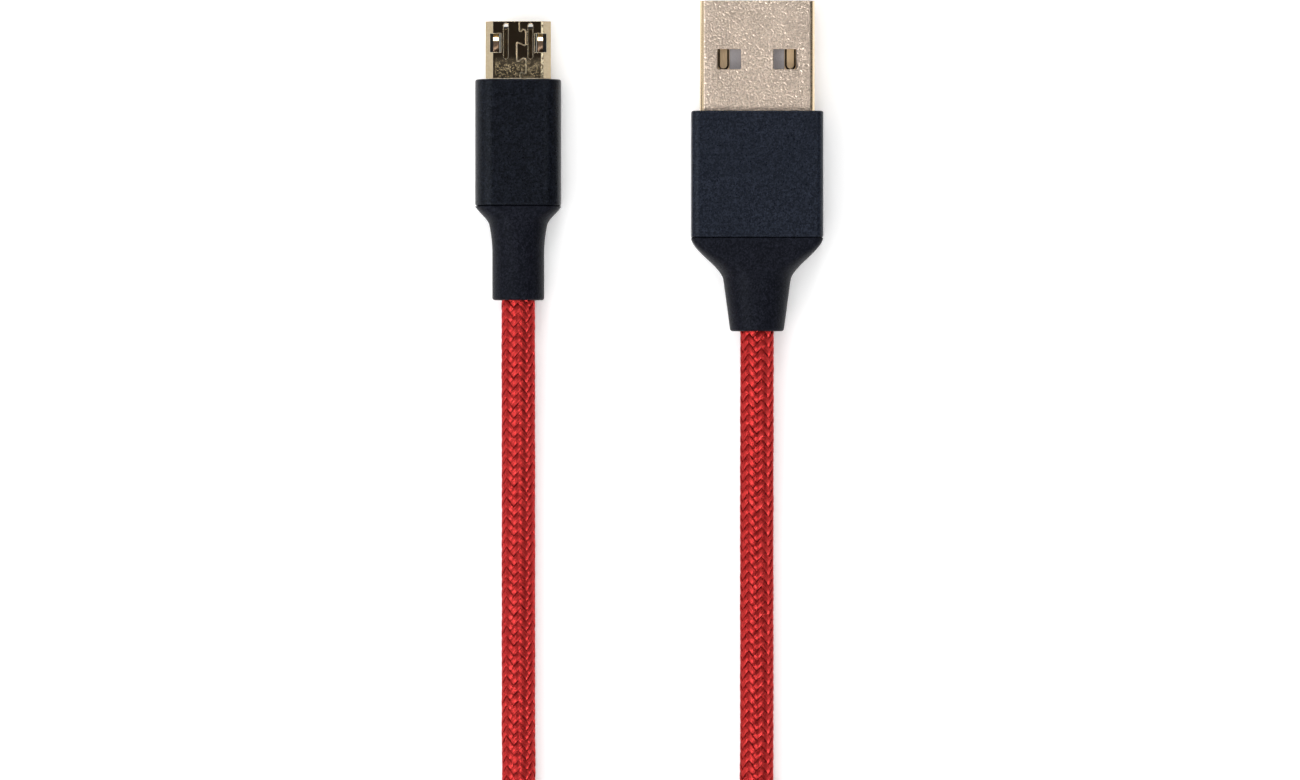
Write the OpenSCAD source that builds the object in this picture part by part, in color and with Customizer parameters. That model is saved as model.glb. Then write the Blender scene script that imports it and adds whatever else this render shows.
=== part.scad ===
// Charging cable: a flat host plug, a slim reversible device plug, and a braided cord.
// Sizes are in millimetres. +X runs across the two plugs, +Y towards their tips, +Z up.
// The origin lies under the middle of the two plugs, on the surface that the cable lies on.
// Each plug is drawn about its own centre line, with y = 0 at the front face of its housing.

/* [Host plug] */
// Width of the metal shell
host_shell_w = 12; // [11.8:0.1:12.2]
// Height of the metal shell
host_shell_h = 4.5; // [4.4:0.1:4.6]
// Thickness of the shell's sheet metal
host_shell_wall = 0.32; // [0.25:0.01:0.4]
// Length of shell that shows in front of the housing
host_shell_len = 11.5; // [11:0.1:12.5]
// Width of the housing
host_housing_w = 13.8; // [13.6:0.1:14.4]
// Height of the housing
host_housing_h = 6.6; // [6.4:0.1:7]
// Radius of the housing's long corners
host_housing_r = 0.9; // [0.7:0.1:1.4]
// Width of the boot's round end
host_boot_end = 5.6; // [5.2:0.1:6]
// Length of the boot behind the housing
host_boot_len = 9.8; // [8:0.1:12]

/* [Device plug] */
// Width of the metal shell
device_shell_w = 6.85; // [6.8:0.05:6.9]
// Height of the metal shell
device_shell_h = 1.8; // [1.75:0.05:1.85]
// Thickness of the shell's sheet metal
device_shell_wall = 0.25; // [0.22:0.01:0.27]
// Length of shell that shows in front of the housing
device_shell_len = 6.1; // [6:0.1:6.3]
// Width of the housing
device_housing_w = 9; // [8.8:0.1:9.6]
// Height of the housing
device_housing_h = 5.6; // [5.5:0.1:6]
// Radius of the housing's long corners
device_housing_r = 2; // [1.8:0.1:2.4]
// Width of the boot's round end
device_boot_end = 5.44; // [5.2:0.02:5.6]
// Length of the boot behind the housing
device_boot_len = 9.9; // [8:0.1:12]

/* [Housings] */
// Length of both housings
housing_len = 13.2; // [13:0.1:15]
// Wall thickness of both housings
housing_wall = 0.6; // [0.5:0.05:0.7]

/* [Cord] */
// Diameter of the braided cord
cord_d = 3.55; // [3.3:0.05:3.58]
// Diameter of one insulated wire inside the cord
wire_d = 0.7; // [0.5:0.05:0.7]
// Width of the hook-and-loop tie round the coil
tie_w = 7; // [5:0.5:10]
// Thickness of the tie
tie_t = 0.8; // [0.6:0.1:1]

/* [Hidden] */
$fn = 48;

// Clearance between pieces that are assembled together
gap = 0.02;
// Depth by which a cut runs past the face that it opens
past = 1;

// Where the two plugs lie
host_x = 11.3;
host_y = 5.75;
device_x = -13.7;
device_y = 9.1;
host_z = host_housing_h / 2;
device_z = device_housing_h / 2;

// Inside the housings, counted back from their front faces
mould_front = -0.3;
mould_back = -12.2;
cord_end = -12.25;
wire_back = cord_end + 0.17;
boot_insert_front = mould_back - gap;
boot_insert_overlap = 0.5;
boot_bore_d = 3.6;
wire_front = -7.4;

// Host shell, its windows, and the seam on its underside
host_shell_back = -7;
host_shell_r = 0.6;
host_window_w = 2.5;
host_window_len = 2.1;
host_window_r = 0.15;
host_window_x = 2.93;
host_window_y = host_shell_len - 6.1;
host_seam_w = 0.08;
host_seam_depth = 0.12;
host_seam = [
    [0, 11.5], [0, 8.6], [-0.5, 8.8], [-0.5, 6.6], [0, 6.8],
    [0, 4.4], [0.5, 4.6], [0.5, 2.4], [0, 2.6], [0, 0]
];

// Host tongue, which carries the contacts face up
host_tongue_w = 11.1;
host_tongue_low = -1.9;
host_tongue_top = -0.05;
host_tongue_front = host_shell_len - 0.35;
host_tongue_chamfer = 0.3;
host_block_back = -6.8;
host_block_front = 1.8;

// Host contacts
host_lines = ["power", "data_minus", "data_plus", "ground"];
host_contact_x = [-3.5, -1, 1, 3.5];
host_contact_front = [10.4, 9.4, 9.4, 10.4];
host_contact_back = -8.8;
host_contact_w = 1.25;
host_contact_t = 0.2;
host_pad_w = 0.95;
host_pad_t = 0.08;
host_pad_back = 4.9;
host_wire_x = [-1.3, -0.42, 0.42, 1.3];
host_wire_z = host_tongue_top + gap + wire_d / 2;

// Device shell: half widths and half heights of its eight-sided section
device_shell_back = -4.5;
device_side_half_h = 0.3;
device_flat_half_w = 2.65;
device_slot_x = 1.29;
device_slot_w = 0.5;
device_slot_front = device_shell_len - 0.2;
device_slot_back = device_shell_len - 3.95;
device_window_x = [1.75, 2.95];
device_window_y = [device_shell_len - 3.25, device_shell_len - 1.28];
device_seam_w = 0.07;
device_seam_depth = 0.12;
device_seam = [
    [0.13, 6.1], [0.12, 5.18], [0.18, 5.03], [0.34, 5.05], [0.48, 5.21], [0.62, 5.23],
    [0.76, 5.12], [0.81, 4.96], [0.8, 3.7], [0.66, 3.55], [0, 3.86], [-0.11, 3.84],
    [-0.14, 3.7], [-0.15, 2.1], [-0.08, 1.92], [0.06, 1.93], [0.4, 2.18], [0.58, 2.22],
    [0.75, 2.12], [0.81, 1.95], [0.8, 0.74], [0.68, 0.6], [0.34, 0.76], [0.2, 0.7],
    [0.17, 0.5], [0.27, 0.15]
];

// Device insulator block, its thin webs between the latches, and the flexing tongue
device_block_back = -4.3;
device_block_front = 0.58;
device_web_x = [1.94, 2.98];
device_web_t = 0.1;
device_web_front = 4.95;
device_tongue_w = 3.8;
device_tongue_t = 0.3;
device_tongue_root = 0.75;
device_tongue_front = device_shell_len - 0.54;
device_lines = ["power", "data_minus", "data_plus", "id", "ground"];
device_contact_pitch = 0.65;
device_contact_w = 0.38;
device_contact_t = 0.05;
device_contact_back = 1.2;
device_contact_front = 5.3;

// Device circuit board, and the solder tails that reach it from the block
device_board_w = 5;
device_board_t = 0.6;
device_board_back = -9;
device_board_front = -4.55;
device_tail_t = 0.08;
device_tail_back = -6.2;
device_wire_x = [0.45, 1.2];
device_wire_z = device_board_t / 2 + gap + wire_d / 2;

// Device latch springs
latch_x = 2.32;
latch_w = 0.55;
latch_root = [-1.1, 0.48];
latch_t = 0.2;
latch_front = device_shell_len - 0.35;
latch_hook_z = [1.18, 1.06];
latch_hook_y = [
    device_shell_len - 3.1, device_shell_len - 2.05,
    device_shell_len - 1.68, device_shell_len - 1.4
];
latch_pocket_w = 0.68;
latch_pocket_low = 0.15;
latch_pocket_back = -1.3;

// Boots: a flare has a size, a length and a power, and a shoulder has a length
boot_rings = 14;
boot_corner_points = 8;
boot_roundness = 0.97;
host_boot_flare = [1.32, 9.8, 1];
host_boot_shoulder = 4.5;
device_boot_flare = [0.9, 5, 2];
device_boot_shoulder = 2;

// Cord: the route of each lead, from inside its boot to the coil
cord_sides = 8;
host_route = [
    [11.3, -6.5, 3.3], [11.3, -12, 3.3], [11.3, -17.25, 3.3], [11.3, -21, 3.25],
    [11.3, -26, 2.9], [11.3, -32, 2.3], [11.3, -38, 1.9], [11.3, -44, 1.8],
    [11.3, -50, 1.8], [11.3, -56, 1.8], [11.3, -62, 1.8], [11.3, -65, 1.8],
    [11.6, -68.5, 1.8], [12.5, -71.8, 1.8], [14, -75, 1.8], [16, -78.5, 1.8],
    [18.1, -82.1, 1.8], [20.4, -86, 1.8]
];
device_route = [
    [-13.7, -3.2, 2.8], [-13.7, -8.5, 2.8], [-13.7, -14, 2.8], [-13.7, -18, 2.75],
    [-13.7, -23, 2.5], [-13.7, -29, 2.1], [-13.7, -35, 1.85], [-13.7, -41, 1.8],
    [-13.7, -47, 1.8], [-13.7, -53, 1.8], [-13.7, -59, 1.8], [-13.7, -65, 1.8],
    [-14, -68.5, 2], [-14.9, -71.8, 2.4], [-16.4, -75, 3.2], [-18.4, -78.5, 4.2],
    [-20.5, -82.1, 5], [-22.8, -86, 5.4]
];

// Coil: two layers of turns, from the innermost turn to the outermost
coil_centre = [-1.2, -98.5];
coil_turn_in = 12.9;
coil_turn_out = 24.9;
coil_layer = 3.6;
coil_mid = (coil_turn_in + coil_turn_out) / 2;
coil_w = coil_turn_out - coil_turn_in + cord_d;
coil_h = 2 * coil_layer;
coil_r = 1.7;
tie_r = 2;
tie_slack = 0.2;

// Colours
gold_satin = [0.8, 0.72, 0.6];
gold_bright = [0.85, 0.7, 0.4];
housing_colour = [0.12, 0.14, 0.18];
boot_colour = [0.07, 0.07, 0.08];
mould_colour = [0.1, 0.1, 0.1];
white_plastic = [0.88, 0.88, 0.86];
black_plastic = [0.06, 0.06, 0.06];
tin_colour = [0.75, 0.76, 0.78];
board_colour = [0.1, 0.3, 0.15];
cord_colour = [0.75, 0.13, 0.14];
wire_colours = [[0.75, 0.1, 0.1], [0.9, 0.9, 0.88], [0.15, 0.5, 0.2], [0.08, 0.08, 0.08]];

sides = ["upper", "lower"];
hands = ["left", "right"];

// ---- Placing and basic shapes ----

module at_host() translate([host_x, host_y, host_z]) children();

module at_device() translate([device_x, device_y, device_z]) children();

// A flat outline in X and Z, stretched along Y
module along_y(low, high) {
    translate([0, high, 0]) rotate([90, 0, 0]) linear_extrude(high - low) children();
}

// A flat outline in Y and Z, stretched along X about the centre
module along_x(width) {
    rotate([90, 0, 90]) linear_extrude(width, center = true) children();
}

module rounded_rect(w, h, r) {
    square([w - 2 * r, h], center = true);
    square([w, h - 2 * r], center = true);
    for (sx = [-1, 1], sy = [-1, 1])
        translate([sx * (w / 2 - r), sy * (h / 2 - r)]) circle(r);
}

// A box between two corners
module block(low, high) {
    translate(low) cube(high - low);
}

module rod(from, to, d) {
    span = to - from;
    length = norm(span);
    translate(from)
        rotate([0, acos(span.z / length), atan2(span.y, span.x)])
            cylinder(d = d, h = length);
}

// A narrow line cut through points, as a flat outline
module stroke(points, width) {
    for (i = [1 : len(points) - 1]) {
        step = points[i] - points[i - 1];
        translate(points[i - 1])
            rotate(atan2(step.y, step.x))
                translate([-width / 2, -width / 2]) square([norm(step) + width, width]);
    }
}

// A closed solid through a row of outlines that all have the same number of points
module skin(rings) {
    count = len(rings[0]);
    last = len(rings) - 1;
    points = [for (ring = rings) each ring];
    walls = [
        for (k = [0 : last - 1], i = [0 : count - 1])
            let (j = (i + 1) % count)
            [k * count + i, k * count + j, (k + 1) * count + j, (k + 1) * count + i]
    ];
    first_cap = [for (i = [count - 1 : -1 : 0]) i];
    last_cap = [for (i = [0 : count - 1]) last * count + i];
    polyhedron(points = points, faces = concat(walls, [first_cap, last_cap]), convexity = 4);
}

function ease(t) = let (u = max(0, min(1, t))) u * u * (3 - 2 * u);

function mix(a, b, t) = a + (b - a) * t;

// ---- Boots and housings ----

// Half width of a boot at a distance behind the housing: a shoulder, then a flare to the end
function boot_half(start, end, flare, shoulder, back) =
    end + flare[0] * pow(max(0, 1 - back / flare[1]), flare[2])
    + (start - end - flare[0]) * (1 - ease(back / shoulder));

// One outline of a boot, as a rounded rectangle across the cord's direction
function boot_outline(half_w, half_h, r, y) = [
    for (corner = [0 : 3], i = [0 : boot_corner_points - 1])
        let (
            angle = -90 * (corner + i / (boot_corner_points - 1)),
            sx = corner == 0 || corner == 3 ? 1 : -1,
            sz = corner < 2 ? -1 : 1
        )
        [sx * (half_w - r) + r * cos(angle), y, sz * (half_h - r) + r * sin(angle)]
];

// A boot's body behind a housing of width w, height h and corner radius r
module boot_body(w, h, r, end, length, flare, shoulder) {
    skin([
        for (k = [0 : boot_rings - 1])
            let (
                back = length * pow(k / (boot_rings - 1), 1.3),
                half_w = boot_half(w / 2, end, flare, shoulder, back),
                half_h = mix(h / 2, end, ease(back / length)),
                round_r = boot_roundness * min(half_w, half_h)
            )
            boot_outline(half_w, half_h, mix(r, round_r, ease(back / shoulder)), -housing_len - back)
    ]);
}

// The bore of a housing, and what fills it, less a clearance
module bore_section(w, h, r, clearance) {
    rounded_rect(
        w - 2 * housing_wall - 2 * clearance,
        h - 2 * housing_wall - 2 * clearance,
        r - housing_wall / 2
    );
}

module boot(w, h, r, end, length, flare, shoulder) {
    difference() {
        union() {
            boot_body(w, h, r, end, length, flare, shoulder);
            along_y(-housing_len - boot_insert_overlap, boot_insert_front) bore_section(w, h, r, gap);
        }
        along_y(-housing_len - length - past, boot_insert_front + past) circle(d = boot_bore_d);
    }
}

module housing(w, h, r) {
    difference() {
        along_y(-housing_len, 0) rounded_rect(w, h, r);
        along_y(-housing_len - past, past) bore_section(w, h, r, 0);
    }
}

// ---- Host plug ----

module host_shell_section(grow) {
    rounded_rect(host_shell_w + 2 * grow, host_shell_h + 2 * grow, host_shell_r + grow);
}

module host_shell() color(gold_satin) at_host() difference() {
    along_y(host_shell_back, host_shell_len) host_shell_section(0);
    along_y(host_shell_back - past, host_shell_len + past) host_shell_section(-host_shell_wall);
    for (side = [-1, 1])
        translate([side * host_window_x, host_window_y, -host_shell_h])
            linear_extrude(2 * host_shell_h)
                rounded_rect(host_window_w, host_window_len, host_window_r);
    translate([0, 0, -host_shell_h / 2 - past])
        linear_extrude(past + host_seam_depth) stroke(host_seam, host_seam_w);
}

module host_contact_channel(i) {
    half_w = host_contact_w / 2 + gap;
    low = host_tongue_top - host_contact_t - gap;
    block(
        [host_contact_x[i] - half_w, host_contact_back - gap, low],
        [host_contact_x[i] + half_w, host_contact_front[i] + gap, host_tongue_top + gap]
    );
}

module host_tongue() color(white_plastic) at_host() difference() {
    union() {
        along_x(host_tongue_w) polygon([
            [host_block_back, host_tongue_low],
            [host_tongue_front - host_tongue_chamfer, host_tongue_low],
            [host_tongue_front, host_tongue_low + host_tongue_chamfer],
            [host_tongue_front, host_tongue_top - host_tongue_chamfer],
            [host_tongue_front - host_tongue_chamfer, host_tongue_top],
            [host_block_back, host_tongue_top]
        ]);
        along_y(host_block_back, host_block_front) host_shell_section(-host_shell_wall - gap);
    }
    for (i = [0 : 3]) host_contact_channel(i);
}

module host_contact(i) color(gold_bright) at_host() translate([host_contact_x[i], 0, host_tongue_top]) {
    block(
        [-host_contact_w / 2, host_contact_back, -host_contact_t],
        [host_contact_w / 2, host_contact_front[i], 0]
    );
    block(
        [-host_pad_w / 2, host_pad_back, -host_contact_t / 2],
        [host_pad_w / 2, host_contact_front[i] - host_pad_t, host_pad_t]
    );
    translate([0, host_pad_back, -host_contact_t / 2])
        cylinder(d = host_pad_w, h = host_contact_t / 2 + host_pad_t);
}

// The wires fan out flat from the cord's end and lie on the contacts' tails
module host_wire_run(i, d) {
    rod([host_wire_x[i], wire_back, host_wire_z], [host_contact_x[i], wire_front, host_wire_z], d);
}

module host_wire(i) color(wire_colours[i]) at_host() host_wire_run(i, wire_d);

module host_inner_mould() color(mould_colour) at_host() difference() {
    along_y(mould_back, mould_front) bore_section(host_housing_w, host_housing_h, host_housing_r, gap);
    along_y(host_shell_back - gap, past) host_shell_section(gap);
    for (i = [0 : 3]) {
        host_contact_channel(i);
        host_wire_run(i, wire_d + 2 * gap);
    }
}

module host_housing() color(housing_colour) at_host() {
    housing(host_housing_w, host_housing_h, host_housing_r);
}

module host_boot() color(boot_colour) at_host() {
    boot(
        host_housing_w, host_housing_h, host_housing_r,
        host_boot_end / 2, host_boot_len, host_boot_flare, host_boot_shoulder
    );
}

// ---- Device plug ----

// The eight-sided outline of the shell, with its walls moved out by grow
function device_outline(grow) =
    let (
        half_w = device_shell_w / 2,
        half_h = device_shell_h / 2,
        run = half_w - device_flat_half_w,
        rise = half_h - device_side_half_h,
        level = rise * half_w + run * device_side_half_h + grow * norm([run, rise]),
        side = (level - rise * (half_w + grow)) / run,
        flat = (level - run * (half_h + grow)) / rise,
        quarter = [[half_w + grow, side], [flat, half_h + grow]]
    )
    concat(
        quarter,
        [for (p = [quarter[1], quarter[0]]) [-p.x, p.y]],
        -quarter,
        [for (p = [quarter[1], quarter[0]]) [p.x, -p.y]]
    );

module device_slot(x) {
    translate([x, 0, -device_shell_h]) linear_extrude(2 * device_shell_h) {
        for (y = [device_slot_back + device_slot_w / 2, device_slot_front - device_slot_w / 2])
            translate([0, y]) circle(d = device_slot_w);
        translate([-device_slot_w / 2, device_slot_back + device_slot_w / 2])
            square([device_slot_w, device_slot_front - device_slot_back - device_slot_w]);
    }
}

module device_window(hand, side) {
    middle = (device_window_x[0] + device_window_x[1]) / 2;
    width = device_window_x[1] - device_window_x[0];
    low = side > 0 ? device_side_half_h : -device_shell_h;
    block(
        [hand * middle - width / 2, device_window_y[0], low],
        [hand * middle + width / 2, device_window_y[1], low + device_shell_h - device_side_half_h]
    );
}

module device_shell() color(gold_bright) at_device() difference() {
    along_y(device_shell_back, device_shell_len) polygon(device_outline(0));
    along_y(device_shell_back - past, device_shell_len + past)
        polygon(device_outline(-device_shell_wall));
    for (hand = [-1, 1]) {
        device_slot(hand * device_slot_x);
        for (side = [-1, 1]) device_window(hand, side);
    }
    translate([0, 0, device_shell_h / 2 - device_seam_depth])
        linear_extrude(past) stroke(device_seam, device_seam_w);
}

module device_tail_box(i, side, clearance) {
    x = (i - 2) * device_contact_pitch;
    half_w = device_contact_w / 2 + clearance;
    low = device_board_t / 2 + gap;
    middle = side * (low + device_tail_t / 2);
    half_t = device_tail_t / 2 + clearance;
    block(
        [x - half_w, device_tail_back - clearance, middle - half_t],
        [x + half_w, device_block_front + clearance, middle + half_t]
    );
}

module latch_pocket(hand, side) {
    low = side > 0 ? latch_pocket_low : -device_shell_h;
    high = low + device_shell_h - latch_pocket_low;
    block(
        [hand * latch_x - latch_pocket_w / 2, latch_pocket_back, low],
        [hand * latch_x + latch_pocket_w / 2, device_block_front + past, high]
    );
}

module device_web(hand) {
    middle = (device_web_x[0] + device_web_x[1]) / 2;
    half_w = (device_web_x[1] - device_web_x[0]) / 2;
    block(
        [hand * middle - half_w, device_block_back, -device_web_t / 2],
        [hand * middle + half_w, device_web_front, device_web_t / 2]
    );
}

module device_insulator() color(black_plastic) at_device() difference() {
    union() {
        along_y(device_block_back, device_block_front)
            polygon(device_outline(-device_shell_wall - gap));
        for (hand = [-1, 1]) device_web(hand);
    }
    for (side = [-1, 1]) {
        for (hand = [-1, 1]) latch_pocket(hand, side);
        for (i = [0 : 4]) device_tail_box(i, side, gap);
    }
}

module device_tongue() color(black_plastic) at_device() along_x(device_tongue_w) {
    half_t = device_tongue_t / 2;
    translate([device_tongue_root, 0]) circle(half_t);
    polygon([
        [device_tongue_root, -half_t],
        [device_tongue_front - half_t, -half_t],
        [device_tongue_front, -half_t / 2],
        [device_tongue_front, half_t / 2],
        [device_tongue_front - half_t, half_t],
        [device_tongue_root, half_t]
    ]);
}

module device_contact(i, side) color(gold_bright) at_device() {
    x = (i - 2) * device_contact_pitch;
    middle = side * (device_tongue_t + device_contact_t) / 2;
    block(
        [x - device_contact_w / 2, device_contact_back, middle - device_contact_t / 2],
        [x + device_contact_w / 2, device_contact_front, middle + device_contact_t / 2]
    );
}

module device_tail(i, side) color(tin_colour) at_device() device_tail_box(i, side, 0);

module device_circuit_board() color(board_colour) at_device() {
    block(
        [-device_board_w / 2, device_board_back, -device_board_t / 2],
        [device_board_w / 2, device_board_front, device_board_t / 2]
    );
}

// Two wires reach the top of the board and two reach its underside
module device_wire_run(i, d) {
    hand = i < 2 ? -1 : 1;
    z = (i == 0 || i == 3 ? 1 : -1) * device_wire_z;
    rod([hand * device_wire_x[0], wire_back, z], [hand * device_wire_x[1], wire_front, z], d);
}

module device_wire(i) color(wire_colours[i]) at_device() device_wire_run(i, wire_d);

module device_inner_mould() color(mould_colour) at_device() difference() {
    along_y(mould_back, mould_front)
        bore_section(device_housing_w, device_housing_h, device_housing_r, gap);
    along_y(device_shell_back - gap, past) polygon(device_outline(gap));
    block(
        [-device_board_w / 2 - gap, device_board_back - gap, -device_board_t / 2 - gap],
        [device_board_w / 2 + gap, device_shell_back, device_board_t / 2 + gap]
    );
    for (side = [-1, 1], i = [0 : 4]) device_tail_box(i, side, gap);
    for (i = [0 : 3]) device_wire_run(i, wire_d + 2 * gap);
}

module device_housing() color(housing_colour) at_device() {
    housing(device_housing_w, device_housing_h, device_housing_r);
}

module device_boot() color(boot_colour) at_device() {
    boot(
        device_housing_w, device_housing_h, device_housing_r,
        device_boot_end / 2, device_boot_len, device_boot_flare, device_boot_shoulder
    );
}

// A spring strip with a round root and a hook that rises through its window in the shell
module device_latch(side, hand) color(gold_bright) at_device() {
    inner = latch_root.y - latch_t / 2;
    outer = latch_root.y + latch_t / 2;
    mirror([0, 0, side < 0 ? 1 : 0]) translate([hand * latch_x, 0, 0]) along_x(latch_w) {
        translate(latch_root) circle(d = latch_t);
        polygon([
            [latch_root.x, inner], [latch_front, inner], [latch_front, outer],
            [latch_hook_y[3], outer], [latch_hook_y[2], latch_hook_z[1]],
            [latch_hook_y[1], latch_hook_z[0]], [latch_hook_y[0], outer], [latch_root.x, outer]
        ]);
    }
}

// ---- Cord ----

function unit(v) = v / norm(v);

// The ring of points round a route at one of its points
function cord_ring(route, k) =
    let (
        ahead = unit(route[min(len(route) - 1, k + 1)] - route[max(0, k - 1)]),
        across = unit(cross(ahead, [0, 0, 1])),
        up = cross(across, ahead)
    )
    [
        for (i = [0 : cord_sides - 1])
            let (angle = 360 * (i + 0.5) / cord_sides)
            route[k] + cord_d / 2 * (across * cos(angle) + up * sin(angle))
    ];

module cord_lead(route) color(cord_colour) skin([for (k = [0 : len(route) - 1]) cord_ring(route, k)]);

module cord_coil() color(cord_colour) translate([coil_centre.x, coil_centre.y, 0])
    rotate_extrude() translate([coil_mid, coil_h / 2]) rounded_rect(coil_w, coil_h, coil_r);

module cable_tie() color(black_plastic) {
    inner_w = coil_w + 2 * tie_slack;
    inner_h = coil_h + tie_slack;
    translate([coil_centre.x, coil_centre.y - coil_mid, tie_t + inner_h / 2]) along_x(tie_w) difference() {
        rounded_rect(inner_w + 2 * tie_t, inner_h + 2 * tie_t, tie_r + tie_t);
        rounded_rect(inner_w, inner_h, tie_r);
    }
}

// ---- Nodes ----

host_shell();
host_tongue();
host_inner_mould();
host_housing();
host_boot();
for (i = [0 : 3]) {
    host_contact(i);
    host_wire(i);
}
device_shell();
device_insulator();
device_tongue();
device_circuit_board();
device_inner_mould();
device_housing();
device_boot();
for (k = [0 : 1], i = [0 : 4]) {
    side = 1 - 2 * k;
    line = str(sides[k], "_", device_lines[i]);
    device_contact(i, side);
    device_tail(i, side);
}
for (i = [0 : 3]) {
    device_wire(i);
}
for (k = [0 : 1], j = [0 : 1]) {
    latch = str("device_latch_", sides[k], "_", hands[j]);
    device_latch(1 - 2 * k, 2 * j - 1);
}
cord_lead(host_route);  // cord_host_lead
cord_coil();
cord_lead(device_route);  // cord_device_lead
cable_tie();
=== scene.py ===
"""Looks of a braided charging cable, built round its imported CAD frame.

Lengths are written in millimetres and turned into metres by MM. +X runs across the two plugs,
+Y towards their tips and +Z up from the floor, as in the frame.
"""
import math

import bpy
import numpy as np
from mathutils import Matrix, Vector


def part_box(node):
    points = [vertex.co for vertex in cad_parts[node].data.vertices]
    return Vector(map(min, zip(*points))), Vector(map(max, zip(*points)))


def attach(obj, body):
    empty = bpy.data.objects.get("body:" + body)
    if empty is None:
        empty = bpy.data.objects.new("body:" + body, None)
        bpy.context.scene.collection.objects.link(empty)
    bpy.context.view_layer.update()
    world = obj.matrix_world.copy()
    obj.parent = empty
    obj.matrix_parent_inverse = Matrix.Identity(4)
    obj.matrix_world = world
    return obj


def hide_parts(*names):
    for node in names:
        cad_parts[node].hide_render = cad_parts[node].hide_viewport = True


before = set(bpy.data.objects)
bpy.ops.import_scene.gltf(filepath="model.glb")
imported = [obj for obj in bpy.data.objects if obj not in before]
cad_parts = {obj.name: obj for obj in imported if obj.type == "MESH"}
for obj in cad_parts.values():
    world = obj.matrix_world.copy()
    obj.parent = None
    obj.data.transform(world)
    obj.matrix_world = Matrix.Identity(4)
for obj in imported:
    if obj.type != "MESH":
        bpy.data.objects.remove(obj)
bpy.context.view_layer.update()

MM = 0.001
UP = np.array([0.0, 0.0, 1.0])


def node_box(node):
    """The middle and the size of a CAD node's box, in millimetres."""
    low, high = (np.round(np.array(corner) / MM, 4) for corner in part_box(node))
    return (low + high) / 2, high - low


def front_face(node):
    """The middle of the front of a CAD node's box, and the box's size, in millimetres."""
    middle, size = node_box(node)
    return np.round(middle + [0, size[1] / 2, 0], 4), size


# Where the plugs lie: the middle of each housing's front face, and the housings' sizes
HOST, HOST_SIZE = front_face("host_housing")
DEVICE, DEVICE_SIZE = front_face("device_housing")
HOUSING_LEN = HOST_SIZE[1]

# The cord's route, point for point
HOST_ROUTE = [
    (11.3, -6.5, 3.3), (11.3, -12, 3.3), (11.3, -17.25, 3.3), (11.3, -21, 3.25),
    (11.3, -26, 2.9), (11.3, -32, 2.3), (11.3, -38, 1.9), (11.3, -44, 1.8),
    (11.3, -50, 1.8), (11.3, -56, 1.8), (11.3, -62, 1.8), (11.3, -65, 1.8),
    (11.6, -68.5, 1.8), (12.5, -71.8, 1.8), (14, -75, 1.8), (16, -78.5, 1.8),
    (18.1, -82.1, 1.8), (20.4, -86, 1.8),
]
DEVICE_ROUTE = [
    (-13.7, -3.2, 2.8), (-13.7, -8.5, 2.8), (-13.7, -14, 2.8), (-13.7, -18, 2.75),
    (-13.7, -23, 2.5), (-13.7, -29, 2.1), (-13.7, -35, 1.85), (-13.7, -41, 1.8),
    (-13.7, -47, 1.8), (-13.7, -53, 1.8), (-13.7, -59, 1.8), (-13.7, -65, 1.8),
    (-14, -68.5, 2), (-14.9, -71.8, 2.4), (-16.4, -75, 3.2), (-18.4, -78.5, 4.2),
    (-20.5, -82.1, 5), (-22.8, -86, 5.4),
]

# The coil: its sweep, step, start and climb to the second layer are in degrees, and LYING_Z is the height of
# the cord's middle where it lies on the floor
COIL_CENTRE = node_box("cord_coil")[0][:2]
COIL_INNER = 12.9
COIL_PITCH = 3.6
COIL_SWEEP = 2400
COIL_SPREAD = COIL_PITCH * COIL_SWEEP / 2 / 360
COIL_STEP = 15
COIL_START = 30
COIL_CLIMB = (1150, 1250)
LYING_Z = 1.8

# The cord: its diameter, its core and where its braid is cut into pieces
CORD_D = 3.55
CORE_R = 1.46
CORE_SIDES = 12
CORE_STEP = 0.8
HOST_LEAD = 78.0
DEVICE_LEAD = 82.0
COIL_PIECES = 4

# The braid: the strands each way, the length of one turn of a strand, and how high strands rise over others
CARRIERS = 12
LAY = 12.5
BRAID_R = 1.62
BRAID_WAVE = 0.09
BRAID_PHASE = math.radians(7.5)
FLOAT_SHARPNESS = 2.2

# Each strand wanders by so many radians round the cord and millimetres out from it, over these lengths
WANDER = 0.012
WANDER_LENGTHS = (5.3, 3.1)
WANDER_SEED = 7

# A strand's width, its section across it and out from the cord, its steps per crossing and its map's offset
STRAND_W = 0.7
LEAD_SECTION = [(-0.35, -0.05), (-0.27, 0.04), (0.0, 0.065), (0.27, 0.04), (0.35, -0.05), (0.0, -0.07)]
COIL_SECTION = [(-0.35, -0.05), (-0.2, 0.06), (0.2, 0.06), (0.35, -0.05)]
LEAD_STEPS = 3
COIL_STEPS = 2
STREAK_OFFSET = 41.7

# How far from the host shell's middle its sides' finish ends, and where its flat top's is complete
HOST_FLAT = (5.65, 5.5)

# The bump of streaks on plated strip, and how far its edges are rounded off
STREAK_DEPTH = 0.004
STRIP_EDGE = 0.04

# The grooves round the host plug's outer contact pads with their painted shade, from the edge to the full
# depth
PAD_X = 3.5
PAD_R = 0.475
PAD_END = HOST[1] + 4.9
PAD_SHADED_GROOVE = (0.11, 0.07)

# The same of the device shell, its frosted base, the speckled strip along its right and the painted
# highlight where it meets the housing
DEVICE_FLAT = (2.5, 2.35)
FROSTED_BASE = (DEVICE[1] + 2.8, DEVICE[1] + 1.4)
STRIP_EDGES = ((2.38, 2.44), (2.66, 2.62))
FOOT_HIGHLIGHT = (DEVICE[1] + 0.24, DEVICE[1] + 0.18)
FOOT_HIGHLIGHT_WAVE = 0.15

# Where the painted shade on the latch springs begins and is complete, towards the housing
LATCH_SHADE = (DEVICE[1] + 4.03, DEVICE[1] + 3.95)

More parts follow.
